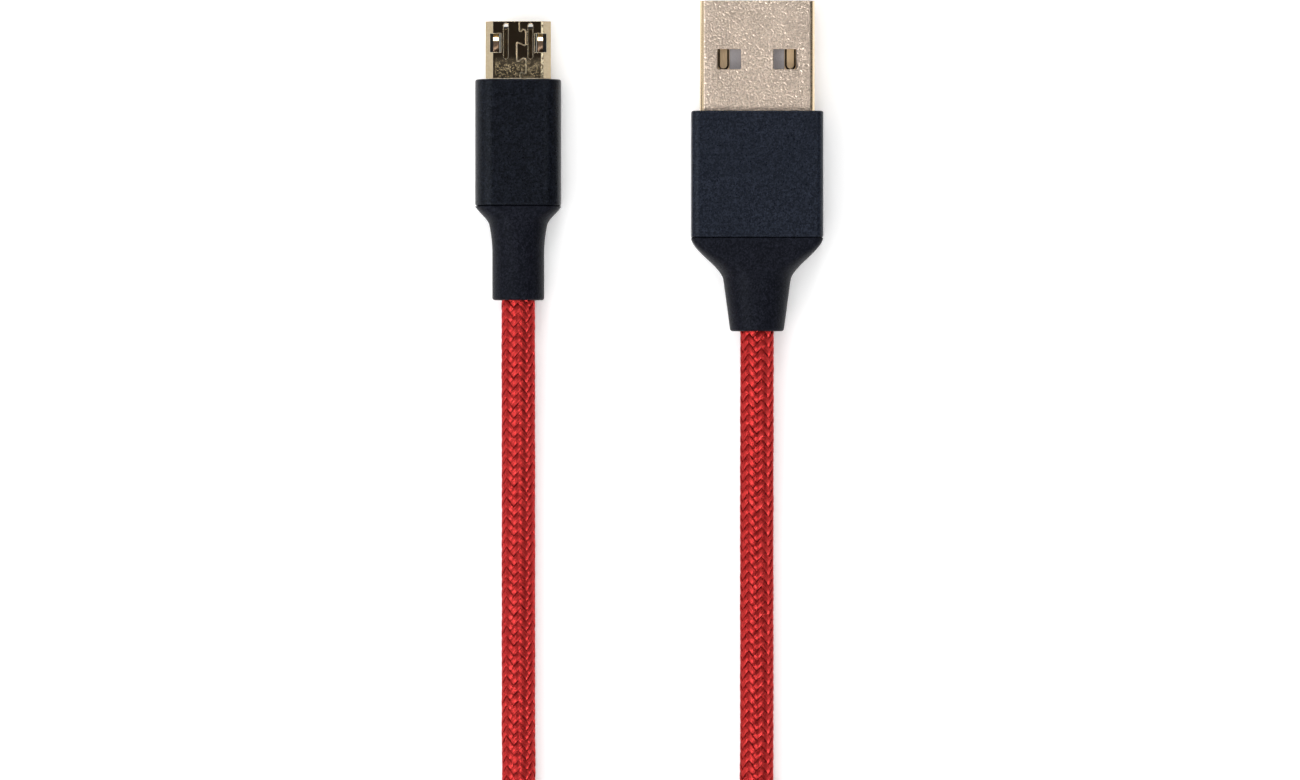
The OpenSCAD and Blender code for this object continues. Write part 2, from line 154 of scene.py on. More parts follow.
# The storage tie, and how far the coil's turns take to rise over its lower side
TIE_W = node_box("cable_tie")[1][0]
TIE_T = 0.4
TIE_RAMP = 5.0
TIE_CORNER = 2.0
TIE_CORNER_STEPS = 8
TIE_STEP = 0.5
TIE_SIDE_GAP = 0.25
TIE_TOP_GAP = 0.15

# The tie starts and ends on top, across the turns. It rises over its own start and narrows at its tip
TIE_START = -2.0
TIE_LAP = (-3.4, -2.0, 0.0, 2.0, 4.0, 5.6)
TIE_LAP_LENGTH = 11.5
TIE_LAP_RISE = 3.5
TIE_TIP_LENGTH = 2.5
TIE_TIP_NARROWS = 0.5

# The tie's section, in widths and thicknesses, and its woven borders' inner edges and spacing of ribs
TIE_SECTION = [
    (-0.5, 0.12), (-0.42, 0.0), (0.42, 0.0), (0.5, 0.12),
    (0.5, 0.88), (0.42, 1.0), (-0.42, 1.0), (-0.5, 0.88),
]
TIE_BORDER = (TIE_W / 2 - 0.75, TIE_W / 2 - 0.6)
TIE_RIB = 0.42

# Each boot: its plug's place and size, its corner and rear radii, its flare and its shoulder's length.
# A flare is how much wider the boot is behind its shoulder, over what length, and its power
BOOTS = {
    "host_boot": (HOST, HOST_SIZE, 0.9, 2.8, (1.32, 9.8, 1), 4.5),
    "device_boot": (DEVICE, DEVICE_SIZE, 2.0, 2.72, (0.9, 5, 2), 2.0),
}
BOOT_INSERT = 0.98
BOOT_WALL = 0.62
BOOT_INSERT_ROUNDER = 0.3
BOOT_BORE = 1.8
BOOT_SEAM_GAP = 0.06
BOOT_SEAM_EDGE = 0.09
BOOT_LIP = 0.28
BOOT_CHAMFER = 0.15
BOOT_ROWS = 60
BOOT_ROWS_SPREAD = 1.15
BOOT_SEAM_ROWS = 5
BOOT_LIP_ROWS = 6

# An outline's points on each corner and each side, its least corner radius and a circle's share of round
OUTLINE_ARC = 12
OUTLINE_SIDE = 3
LEAST_CORNER = 0.05
NEARLY_ROUND = 0.985

# The camera looks straight down. Its view is VIEW_W wide at height VIEW_PLANE. Its clips are in metres
VIEW_W = 136.0
VIEW_CENTRE = (0.1, -23.4)
VIEW_PLANE = 4.0
CAMERA_H = 800.0
CAMERA_CLIP = (0.01, 20)
SENSOR_W = 36.0

# The tent's brightness low down, high up and behind, how dim it is on the right and its colour overhead
TENT_LOW = 0.62
TENT_HIGH = 0.84
TENT_BACK = 0.4
TENT_DIM = 0.95
TENT_OVERHEAD = (0.026, 0.019, 0.017)

# Where the tent's zones start and end, each as a span of the direction's X, Y or Z
LIT_Z = (0.4, 0.28)
RISE_Z = (0.3, 0.55)
BEHIND_Y = (-0.1, 0.3)
BESIDE_X = (0.05, 0.35)
BESIDE_LEAST = 0.45
RIGHT_X = (0.2, 0.5)
RIGHT_Y = (-0.4, -0.15)
RIGHT_Z = ((0.3, 0.42), (0.94, 0.86))
OVERHEAD_Z = (0.84, 0.975)

# The floor and the backdrop
FLOOR_HALF = 3000
FLOOR_Z = -0.05
BACKDROP = (0.93, 0.93, 0.93, 1)

# Each lamp's name, place, size, power in watts and what it gives. The cord's gloss falls on nothing else
LAMPS = [
    ("key_left", (-500, -220, 500), (260, 360), 1.5, "all"),
    ("strip_right", (290, 80, 680), (60, 260), 0.3, "all"),
    ("panel_back", (-10, 440, 560), (240, 150), 0.8, "all"),
    ("panel_front", (-10, -350, 700), (200, 90), 0.25, "all"),
    ("gleam_left", (-270, -220, 610), (100, 100), 0.9, "gloss"),
    ("cord_left", (-530, -430, 190), (160, 160), 0.7, "cord's gloss"),
    ("cord_right", (520, -430, 160), (160, 160), 2.6, "cord's gloss"),
    ("fill", (-150, -100, 1100), (1200, 1200), 9.0, "diffuse"),
]
LAMP_AIM = (0, -20, 0)

# The cosines of the turns at which the painted edge shade of the satin gold and the painted edge highlight
# of the bright gold begin and are complete
EDGE_PAINTED_LIGHT = (0.985, 0.9)

# The turn from which an edge is a crease, the gaps that are merged and the widths of rounded edges
CREASE = math.radians(35)
LOOSE = 0.0005
HOUSING_EDGE = 0.18
TONGUE_EDGE = 0.04
BOARD_EDGE = 0.02


# ---- Numbers and curves ----

def unit(vectors):
    return vectors / np.linalg.norm(vectors, axis=-1, keepdims=True)


def ease(t):
    u = np.clip(t, 0.0, 1.0)
    return u * u * (3 - 2 * u)


def mix(a, b, t):
    return a + (b - a) * t


def smooth_curve(points, per_span):
    """A centripetal Catmull-Rom curve through points."""
    points = np.array(points, float)
    first = 2 * points[0] - points[1]
    last = 2 * points[-1] - points[-2]
    full = np.vstack([first, points, last])
    found = []
    for k in range(1, len(full) - 2):
        p0, p1, p2, p3 = full[k - 1:k + 3]
        t1 = np.linalg.norm(p1 - p0) ** 0.5
        t2 = t1 + np.linalg.norm(p2 - p1) ** 0.5
        t3 = t2 + np.linalg.norm(p3 - p2) ** 0.5
        t = np.linspace(t1, t2, per_span, endpoint=False)[:, None]
        a1 = (t1 - t) / t1 * p0 + t / t1 * p1
        a2 = (t2 - t) / (t2 - t1) * p1 + (t - t1) / (t2 - t1) * p2
        a3 = (t3 - t) / (t3 - t2) * p2 + (t - t2) / (t3 - t2) * p3
        b1 = (t2 - t) / t2 * a1 + t / t2 * a2
        b2 = (t3 - t) / (t3 - t1) * a2 + (t - t1) / (t3 - t1) * a3
        found.append((t2 - t) / (t2 - t1) * b1 + (t - t1) / (t2 - t1) * b2)
    found.append(points[-1:])
    return np.vstack(found)


def evenly(line, step):
    """line again, with points at even distances, and the distance of each."""
    lengths = np.linalg.norm(np.diff(line, axis=0), axis=1)
    distance = np.concatenate([[0], np.cumsum(lengths)])
    wanted = np.linspace(0, distance[-1], int(distance[-1] / step) + 1)
    return np.stack([np.interp(wanted, distance, line[:, k]) for k in range(3)], axis=1), wanted


class Route:
    """The cord's centreline, with a side and an up direction at each distance along it."""

    def __init__(self, points, step=0.4):
        self.points, self.at = evenly(smooth_curve(points, per_span=12), step)
        self.points[:, 2] += self.lift_over_tie()
        self.length = self.at[-1]
        ahead = unit(np.gradient(self.points, axis=0))
        self.side = unit(np.cross(ahead, UP))
        self.up = np.cross(self.side, ahead)

    def lift_over_tie(self):
        """The turns of the coil rise over the strap that passes under them."""
        aside = np.abs(self.points[:, 0] - COIL_CENTRE[0])
        under = self.points[:, 1] < COIL_CENTRE[1]
        return under * TIE_T * (1 - ease((aside - TIE_W / 2) / TIE_RAMP))

    def frame_at(self, distance):
        found = []
        for table in (self.points, self.side, self.up):
            found.append(np.stack([np.interp(distance, self.at, table[:, k]) for k in range(3)], axis=1))
        return found


def coil_points():
    """The coil's two layers of turns: inwards on the floor, then outwards on top."""
    found = []
    for turned in range(0, COIL_SWEEP + 1, COIL_STEP):
        radius = COIL_INNER + COIL_PITCH * abs(turned - COIL_SWEEP / 2) / 360
        angle = math.radians(COIL_START - turned)
        layer = float(ease((turned - COIL_CLIMB[0]) / (COIL_CLIMB[1] - COIL_CLIMB[0])))
        found.append((
            COIL_CENTRE[0] + radius * math.cos(angle),
            COIL_CENTRE[1] + radius * math.sin(angle),
            LYING_Z + COIL_PITCH * layer,
        ))
    return found


# ---- Mesh building ----

def mesh_object(name, points, faces):
    """A smooth mesh from points in millimetres and a list or array of faces."""
    mesh = bpy.data.meshes.new(name)
    mesh.from_pydata((np.asarray(points, float) * MM).tolist(), [], [list(f) for f in faces])
    mesh.polygons.foreach_set("use_smooth", [True] * len(mesh.polygons))
    mesh.update()
    made = bpy.data.objects.new(name, mesh)
    bpy.context.scene.collection.objects.link(made)
    return made


def mapped(made, name, spots):
    """Gives made a map called name, from one spot for each of its points."""
    layer = made.data.uv_layers.new(name=name)
    corner = np.empty(len(made.data.loops), np.int32)
    made.data.loops.foreach_get("vertex_index", corner)
    layer.data.foreach_set("uv", spots[corner].astype(np.float32).ravel())
    return made


def grid_faces(rows, columns, start=0, wrap_rows=False):
    """Quads over rows of points, each row closed round, whose first point is number start."""
    last = rows if wrap_rows else rows - 1
    row = np.arange(last)[:, None]
    column = np.arange(columns)[None, :]
    after = (column + 1) % columns
    above = (row + 1) % rows
    corners = ((row, column), (row, after), (above, after), (above, column))
    quads = [np.broadcast_to(ring * columns + spot, (last, columns)) for ring, spot in corners]
    return np.stack(quads, axis=-1).reshape(-1, 4) + start


def loft(name, rings, closed=False):
    """A skin over rings of points. Its ends are capped, or if closed its last ring joins its first."""
    rings = np.asarray(rings, float)
    rows, columns = rings.shape[:2]
    faces = grid_faces(rows, columns, wrap_rows=closed).tolist()
    if not closed:
        faces.append(list(range(columns))[::-1])
        faces.append([(rows - 1) * columns + k for k in range(columns)])
    return mesh_object(name, rings.reshape(-1, 3), faces)


def tube(name, route, radius, sides, step):
    """A round tube along the whole route."""
    distance = np.linspace(0, route.length, int(route.length / step) + 1)
    centre, side, up = route.frame_at(distance)
    angle = np.linspace(0, 2 * math.pi, sides, endpoint=False)[None, :, None]
    rings = centre[:, None] + radius * (np.cos(angle) * side[:, None] + np.sin(angle) * up[:, None])
    return loft(name, rings)


# ---- The braid ----

def braid(name, route, start, end, per_crossing, section):
    """Flat strands wound both ways round the route, each over two and under two of the others.

    The map named strand gives the place across each strand, from 0 to 1, and along it in millimetres.
    """
    section = np.array(section)
    crossing = LAY / (2 * CARRIERS)
    count = int((end - start) / crossing * per_crossing) + 1
    distance = np.linspace(start, end, count)
    centre, side, up = route.frame_at(distance)
    points, uvs, faces = [], [], []
    ring = len(section)
    rng = np.random.default_rng(WANDER_SEED)
    wander = rng.uniform(0, 2 * math.pi, (2 * CARRIERS, 2))
    for strand in range(2 * CARRIERS):
        turn = 1 if strand < CARRIERS else -1
        angle = turn * 2 * math.pi * distance / LAY + 2 * math.pi * strand / CARRIERS
        angle = angle + WANDER * np.sin(distance / WANDER_LENGTHS[0] + wander[strand, 0])
        floated = np.tanh(FLOAT_SHARPNESS * np.cos(CARRIERS / 2 * (angle - BRAID_PHASE))) * turn
        wandered = WANDER * np.sin(distance / WANDER_LENGTHS[1] + wander[strand, 1])
        radius = BRAID_R + BRAID_WAVE * floated + wandered
        outward = np.cos(angle)[:, None] * side + np.sin(angle)[:, None] * up
        middle = centre + radius[:, None] * outward
        ahead = unit(np.gradient(middle, axis=0))
        across = unit(np.cross(ahead, outward))
        aside = section[None, :, :1] * across[:, None]
        rows = middle[:, None] + aside + section[None, :, 1:] * outward[:, None]
        base = len(points) * count * ring
        strip = grid_faces(count, ring, base).tolist()
        strip.append([base + k for k in range(ring)][::-1])
        strip.append([base + (count - 1) * ring + k for k in range(ring)])
        faces += strip
        points.append(rows.reshape(-1, 3))
        along = np.repeat(distance + STREAK_OFFSET * strand, ring)
        uvs.append(np.stack([np.tile(section[:, 0] / STRAND_W + 0.5, count), along], axis=1))
    made = mesh_object(name, np.vstack(points), faces)
    return mapped(made, "strand", np.vstack(uvs))


# ---- Material nodes ----

class Nodes:
    """Short calls that add nodes to a node tree."""

    def __init__(self, tree):
        self.tree = tree

    def set(self, node, socket, value):
        """A value is a number, a colour or another node's output."""
        target = node.inputs[socket]
        if isinstance(value, bpy.types.NodeSocket):
            self.tree.links.new(value, target)
        else:
            target.default_value = value

    def add(self, kind, output=0, inputs=None, **settings):
        """Makes a node and returns one of its outputs."""
        node = self.tree.nodes.new(kind)
        for name, value in settings.items():
            setattr(node, name, value)
        for socket, value in (inputs or {}).items():
            self.set(node, socket, value)
        return node.outputs[output]

    def add_output(self, surface):
        output = self.tree.nodes.new("ShaderNodeOutputWorld")
        self.set(output, "Surface", surface)

    def math(self, operation, a, b=0.0, c=0.0):
        return self.add("ShaderNodeMath", 0, {0: a, 1: b, 2: c}, operation=operation)

    def blend(self, factor, a, b):
        """a where factor is 0 and b where it is 1. Both are colours."""
        node = self.tree.nodes.new("ShaderNodeMix")
        node.data_type = "RGBA"
        self.set(node, "Factor", factor)
        for socket, value in ((6, a), (7, b)):
            value = (*value, 1) if isinstance(value, tuple) and len(value) == 3 else value
            if isinstance(value, bpy.types.NodeSocket):
                self.tree.links.new(value, node.inputs[socket])
            else:
                node.inputs[socket].default_value = value
        return node.outputs[2]

    def span(self, value, low, high, to_low=0.0, to_high=1.0, smooth=False):
        """to_low where value is low, to_high where it is high, and in between between them."""
        return self.add("ShaderNodeMapRange", 0, {
            "Value": value, "From Min": low, "From Max": high, "To Min": to_low, "To Max": to_high,
        }, interpolation_type="SMOOTHSTEP" if smooth else "LINEAR")


class Paint(Nodes):
    """A material and short calls for its textures."""

    def __init__(self, name, colour, roughness, metallic=0.0, **sockets):
        self.material = bpy.data.materials.new(name)
        self.material.use_nodes = True
        super().__init__(self.material.node_tree)
        self.shader = self.tree.nodes["Principled BSDF"]
        self.use(Base_Color=(*colour, 1), Roughness=roughness, Metallic=metallic, **sockets)

    def place(self, stretch=(1, 1, 1)):
        where = self.add("ShaderNodeTexCoord", "Object")
        return self.add("ShaderNodeMapping", inputs={"Vector": where, "Scale": stretch})

    def axis(self, number):
        """The place along X, Y or Z, which are 0, 1 and 2, in metres."""
        where = self.add("ShaderNodeTexCoord", "Object")
        return self.add("ShaderNodeSeparateXYZ", number, {"Vector": where})

    def fade(self, distance, start, end, smooth=False):
        """0 where distance is start millimetres and 1 where it is end."""
        return self.span(distance, start * MM, end * MM, smooth=smooth)

    def noise(self, size, detail=3.0, rough=0.6, where=None):
        """Noise whose features are about size millimetres across."""
        return self.add("ShaderNodeTexNoise", "Fac", {
            "Vector": where or self.place(), "Scale": 1 / (size * MM), "Detail": detail, "Roughness": rough,
        })

    def streaks(self):
        """Fine streaks along Y, as rolled and plated strip has."""
        return self.noise(0.12, detail=3, where=self.place((1, 0.15, 1)))

    def cells(self, size, output="Distance"):
        """Cells about size millimetres across: the distance from each one's middle, or its own colour."""
        return self.add("ShaderNodeTexVoronoi", output, {"Vector": self.place(), "Scale": 1 / (size * MM)})

    def bump(self, height, depth, strength=1.0, normal=None):
        """height is from 0 to 1, and depth is what that stands for in millimetres."""
        inputs = {"Height": height, "Distance": depth * MM, "Strength": strength}
        if normal is not None:
            inputs["Normal"] = normal
        return self.add("ShaderNodeBump", 0, inputs)

    def rounded(self, radius):
        """Normals that round off the edges of the mesh within radius millimetres."""
        return self.add("ShaderNodeBevel", 0, {"Radius": radius * MM}, samples=6)

    def edges(self, normal):
        """1 along edges, where normal has been turned away from the mesh's own, and 0 on its faces."""
        own = self.add("ShaderNodeNewGeometry", "Normal")
        same = self.add("ShaderNodeVectorMath", "Value", {0: own, 1: normal}, operation="DOT_PRODUCT")
        return self.span(same, *EDGE_PAINTED_LIGHT)

    def use(self, **sockets):
        for name, value in sockets.items():
            self.set(self.shader, name.replace("_", " "), value)
        return self.material


def braid_red():
    """Flat bundles of dyed satin filaments, whose sheen is as red as they are."""
    paint = Paint(
        "braid_red", (0.45, 0.02, 0.02), 0.38, 0.76, Anisotropic=0.65, Specular_Tint=(1.0, 0.26, 0.25, 1),
        Specular_IOR_Level=0.9, IOR=1.8,
    )
    spot = paint.add("ShaderNodeUVMap", 0, uv_map="strand")
    across = paint.add("ShaderNodeSeparateXYZ", 0, {"Vector": spot})

    def streaks(scale, detail):
        stretched = paint.add("ShaderNodeMapping", inputs={"Vector": spot, "Scale": scale})
        return paint.add("ShaderNodeTexNoise", "Fac", {"Vector": stretched, "Scale": 1.0, "Detail": detail})

    yarns = streaks((6.0, 0.5, 1.0), 2.0)
    fibre = streaks((20.0, 1.2, 1.0), 3.0)
    slow = streaks((0.3, 0.3, 1.0), 2.0)
    edge = paint.math("ABSOLUTE", paint.math("SUBTRACT", across, 0.5))
    painted_edge_shade = paint.span(edge, 0.36, 0.5)
    light = paint.blend(paint.span(yarns, 0.35, 0.65), (0.29, 0.009, 0.009), (0.50, 0.031, 0.029))
    light = paint.blend(paint.span(fibre, 0.3, 0.7, 0.0, 0.3), light, (0.26, 0.007, 0.008))
    tone = paint.blend(paint.span(slow, 0.35, 0.65, 0.0, 0.2), light, (0.28, 0.008, 0.009))
    # Towards each strand's edges the colour darkens: painted shade where the strands pass under one another.
    tone = paint.blend(paint.math("MULTIPLY", painted_edge_shade, 0.75), tone, (0.08, 0.001, 0.002))
    height = paint.math("MULTIPLY_ADD", yarns, 1.5, fibre)
    tangent = paint.add("ShaderNodeTangent", 0, direction_type="UV_MAP", uv_map="strand")
    return paint.use(Base_Color=tone, Normal=paint.bump(height, 0.03, 0.9), Tangent=tangent)


def core_red():
    """The dull dark red that shows between the strands."""
    paint = Paint("core_red", (0.12, 0.004, 0.006), 0.8)
    grain = paint.noise(0.2)
    tone = paint.blend(grain, (0.06, 0.002, 0.003), (0.16, 0.006, 0.008))
    return paint.use(Base_Color=tone)


def blasted(name, dark, light, size, shine, roughness=0.31):
    """A dark finish with a fine blasted grain, size millimetres across."""
    paint = Paint(name, dark, roughness, Specular_IOR_Level=shine, Specular_Tint=(0.8, 0.89, 1.0, 1))
    speck = paint.cells(size, "Color")
    grain = paint.noise(size * 1.2, detail=2, rough=0.5)
    broad = paint.noise(2.5, detail=2)
    tone = paint.blend(paint.span(speck, 0.3, 0.9), dark, light)
    tone = paint.blend(paint.span(broad, 0.4, 0.6, 0, 0.2), tone, dark)
    rough = paint.span(grain, 0.3, 0.7, roughness - 0.05, roughness + 0.05)
    return paint.use(Base_Color=tone, Roughness=rough, Normal=paint.bump(grain, 0.03, 1.0))


def gold_satin():
    """Gold plating over a fine orange peel, smooth and yellower along the shell's two sides, with painted
    shade in the peel's dips and along the edges.
    """
    paint = Paint("shell_gold_satin", (0.86, 0.70, 0.50), 0.3, 1.0)
    aside = paint.math("ABSOLUTE", paint.math("SUBTRACT", paint.axis(0), HOST[0] * MM))
    flat = paint.fade(aside, *HOST_FLAT)
    peel = paint.noise(0.2, detail=1, rough=0.4)
    broad = paint.noise(3.0, detail=2)
    tone = paint.blend(paint.span(broad, 0.35, 0.65), (0.87, 0.715, 0.59), (0.97, 0.80, 0.66))
    # The peel's low spots are darkened: painted shade in its hollows.
    painted_dip_shade = paint.blend(0.45, tone, (0.45, 0.35, 0.26))
    tone = paint.blend(paint.span(peel, 0.36, 0.56), painted_dip_shade, tone)
    tone = paint.blend(flat, (0.84, 0.66, 0.44), tone)
    round_off = paint.rounded(0.11)
    # Along the edges and window rims the plating is darkened to brown: painted shade.
    painted_edge_light = paint.math("MULTIPLY", paint.edges(round_off), paint.math("MULTIPLY_ADD", flat, 0.55, 0.3))
    tone = paint.blend(painted_edge_light, tone, (0.33, 0.20, 0.11))
    rough = paint.math("MULTIPLY_ADD", flat, 0.14, 0.22)
    height = paint.math("MULTIPLY", peel, flat)
    normal = paint.bump(height, 0.064, 1.0, round_off)
    return paint.use(Base_Color=tone, Roughness=rough, Normal=normal)


def gold_bright():
    """Mirror-bright gold with a painted highlight along its edges and where it meets the housing, frosted on
    top towards the housing and along its right edge.
    """
    paint = Paint("shell_gold_bright", (0.92, 0.75, 0.46), 0.14, 1.0)
    aside = paint.math("SUBTRACT", paint.axis(0), DEVICE[0] * MM)
    along = paint.axis(1)
    base = paint.fade(along, *FROSTED_BASE, smooth=True)
    flat = paint.fade(paint.math("ABSOLUTE", aside), *DEVICE_FLAT)
    strip = paint.math("MULTIPLY", *[paint.fade(aside, *edge) for edge in STRIP_EDGES])
    frosted = paint.math("MAXIMUM", paint.math("MULTIPLY", base, flat), strip)
    peel = paint.noise(0.15, detail=2, rough=0.6)
    foot_highlight = paint.fade(paint.math("MULTIPLY_ADD", peel, FOOT_HIGHLIGHT_WAVE * MM, along), *FOOT_HIGHLIGHT)
    wear = paint.noise(0.35, detail=4, rough=0.7)
    speck = paint.cells(0.15, "Color")
    mottled = paint.blend(paint.span(speck, 0.5, 0.6), (0.06, 0.04, 0.015), (1.0, 0.80, 0.48))
    speckled = paint.blend(paint.span(speck, 0.4, 0.5), (0.12, 0.08, 0.035), (1.0, 0.88, 0.62))
    tone = paint.blend(paint.span(wear, 0.35, 0.7), (0.86, 0.69, 0.45), (0.95, 0.79, 0.55))
    tone = paint.blend(paint.math("MULTIPLY", frosted, 0.85), tone, paint.blend(strip, mottled, speckled))
    round_off = paint.rounded(0.065)
    # Along the edges and the line where the shell meets the housing the gold is lightened: a painted
    # highlight.
    painted_edge_light = paint.math("MAXIMUM", paint.edges(round_off), foot_highlight)
    tone = paint.blend(painted_edge_light, tone, (1.0, 0.88, 0.68))
    depth = paint.math("MULTIPLY", peel, paint.math("MULTIPLY_ADD", frosted, 0.35, 0.03))
    normal = paint.bump(depth, 0.05, 1.0, round_off)
    rough = paint.math("MULTIPLY_ADD", frosted, 0.06, 0.12)
    rough = paint.math("MULTIPLY_ADD", paint.math("MAXIMUM", painted_edge_light, strip), 0.36, rough)
    dusty = paint.math("MULTIPLY", paint.math("MULTIPLY", base, base), flat)
    metallic = paint.math("MULTIPLY_ADD", dusty, -0.15, 1.0)
    return paint.use(Base_Color=tone, Roughness=rough, Metallic=metallic, Normal=normal)


def plated(name, colour, roughness):
    """A plated metal with fine streaks."""
    paint = Paint(name, colour, roughness, 1.0)
    streak = paint.streaks()
    bright = tuple(min(1.0, c * 1.06) for c in colour)
    dull = tuple(c * 0.86 for c in colour)
    tone = paint.blend(paint.span(streak, 0.3, 0.7), dull, bright)
    rough = paint.span(streak, 0.3, 0.7, roughness * 0.8, roughness * 1.3)
    normal = paint.bump(streak, STREAK_DEPTH, 0.6, paint.rounded(STRIP_EDGE))
    return paint.use(Base_Color=tone, Roughness=rough, Normal=normal)


def latch_gold():
    """Bright gold springs, darkened to bronze towards the housing as painted shade."""
    paint = Paint("latch_gold", (0.92, 0.75, 0.46), 0.2, 1.0)
    streak = paint.streaks()
    tone = paint.blend(paint.span(streak, 0.3, 0.7), (0.80, 0.65, 0.40), (0.97, 0.80, 0.50))
    # Towards the housing the springs are darkened to bronze: painted shade over the hooks' backs and the
    # springs behind them.
    tone = paint.blend(paint.fade(paint.axis(1), *LATCH_SHADE), tone, (0.20, 0.13, 0.085))
    rough = paint.span(streak, 0.3, 0.7, 0.16, 0.26)
    normal = paint.bump(streak, STREAK_DEPTH, 0.6, paint.rounded(STRIP_EDGE))
    return paint.use(Base_Color=tone, Roughness=rough, Normal=normal)


def host_plated():
    """A satin contact whose pad is outlined by a groove with painted shade in it, rounded towards the
    housing.
    """
    paint = Paint("contact_gold_satin", (0.80, 0.66, 0.42), 0.5, 0.6)
    from_middle = paint.math("ABSOLUTE", paint.math("SUBTRACT", paint.axis(0), HOST[0] * MM))
    aside = paint.math("SUBTRACT", from_middle, PAD_X * MM)
    behind = paint.math("MAXIMUM", paint.math("SUBTRACT", PAD_END * MM, paint.axis(1)), 0.0)
    round_end = paint.add("ShaderNodeCombineXYZ", 0, {0: aside, 1: behind})
    away = paint.add("ShaderNodeVectorMath", 1, {0: round_end}, operation="LENGTH")
    off_outline = paint.math("ABSOLUTE", paint.math("SUBTRACT", away, PAD_R * MM))
    shaded_groove = paint.fade(off_outline, *PAD_SHADED_GROOVE)
    streak = paint.streaks()
    metal = paint.blend(paint.span(streak, 0.3, 0.7), (0.74, 0.54, 0.32), (0.86, 0.67, 0.43))
    # The grooves are darkened nearly to black: painted shade in them.
    tone = paint.blend(shaded_groove, metal, (0.03, 0.018, 0.01))
    height = paint.math("SUBTRACT", paint.math("MULTIPLY", streak, 0.1), shaded_groove)
    return paint.use(Base_Color=tone, Normal=paint.bump(height, 0.05, 1.0, paint.rounded(STRIP_EDGE)))


def plastic(name, colour, roughness):
    """A moulded plastic with a fine grain."""
    paint = Paint(name, colour, roughness)
    grain = paint.noise(0.15, detail=3)
    dark = tuple(c * 0.85 for c in colour)
    tone = paint.blend(paint.span(grain, 0.3, 0.7), dark, colour)
    rough = paint.span(grain, 0.3, 0.7, roughness * 0.85, min(1.0, roughness * 1.15))
    return paint.use(Base_Color=tone, Roughness=rough, Normal=paint.bump(grain, 0.012, 0.6))


def board_green():
    """Green solder mask, lighter where copper lies under it."""
    paint = Paint("board_green", (0.02, 0.12, 0.05), 0.3)
    copper = paint.cells(0.9)
    tone = paint.blend(paint.span(copper, 0.28, 0.34), (0.03, 0.17, 0.07), (0.012, 0.08, 0.035))
    return paint.use(Base_Color=tone, Normal=paint.bump(copper, 0.01, 0.4))


def tie_black():
    """A brushed loop pile between two plain woven borders."""
    paint = Paint("tie_black", (0.016, 0.016, 0.018), 0.8, Specular_IOR_Level=0.25, Sheen_Weight=0.08)
    spot = paint.add("ShaderNodeUVMap", 0, uv_map="strap")
    across = paint.add("ShaderNodeSeparateXYZ", 0, {"Vector": spot})
    along = paint.add("ShaderNodeSeparateXYZ", 1, {"Vector": spot})
    border = paint.span(paint.math("ABSOLUTE", across), *TIE_BORDER)
    loops = paint.add(
        "ShaderNodeTexVoronoi", "Distance", {"Vector": spot, "Scale": 3.2}, feature="SMOOTH_F1",
    )
    fuzz = paint.add("ShaderNodeTexNoise", "Fac", {
        "Vector": spot, "Scale": 4.5, "Detail": 5.0, "Roughness": 0.75, "Distortion": 2.0,
    })
    pile = paint.math("MULTIPLY_ADD", loops, -0.5, fuzz)
    rib = paint.math("SINE", paint.math("MULTIPLY", along, 2 * math.pi / TIE_RIB))
    woven = paint.math("MULTIPLY_ADD", rib, 0.25, 0.5)
    height = paint.add("ShaderNodeMix", 0, {0: border, 2: pile, 3: woven})
    tone = paint.blend(paint.span(height, 0.1, 0.6), (0.004, 0.004, 0.005), (0.022, 0.022, 0.025))
    return paint.use(Base_Color=tone, Normal=paint.bump(height, 0.16, 1.0))


def floor_paint():
    """A matt floor that glows a little, which weakens the shadows on it."""
    paint = Paint(
        "floor", (0.94, 0.94, 0.94), 0.9, Specular_IOR_Level=0.2,
        Emission_Color=(1, 1, 1, 1), Emission_Strength=0.2,
    )
    grain = paint.noise(1.2, detail=4)
    tone = paint.blend(grain, (0.93, 0.93, 0.93), (0.95, 0.95, 0.95))
    return paint.use(Base_Color=tone)


# ---- Camera, light and floor ----

def add_camera():
    data = bpy.data.cameras.new("camera")
    data.sensor_width = SENSOR_W
    data.lens = data.sensor_width * (CAMERA_H - VIEW_PLANE) / VIEW_W
    data.clip_start, data.clip_end = CAMERA_CLIP
    camera = bpy.data.objects.new("camera", data)
    camera.location = [value * MM for value in (*VIEW_CENTRE, CAMERA_H)]
    bpy.context.scene.collection.objects.link(camera)
    bpy.context.scene.camera = camera


def add_softbox(name, place, size, power):
    """A rectangular lamp at place, facing LAMP_AIM, both in millimetres."""
    data = bpy.data.lights.new(name, "AREA")
    data.shape = "RECTANGLE"
    data.size, data.size_y = size[0] * MM, size[1] * MM
    data.energy = power
    lamp = bpy.data.objects.new(name, data)
    lamp.location = Vector(place) * MM
    lamp.rotation_euler = (Vector(LAMP_AIM) - Vector(place)).to_track_quat("-Z", "Y").to_euler()
    bpy.context.scene.collection.objects.link(lamp)
    return lamp


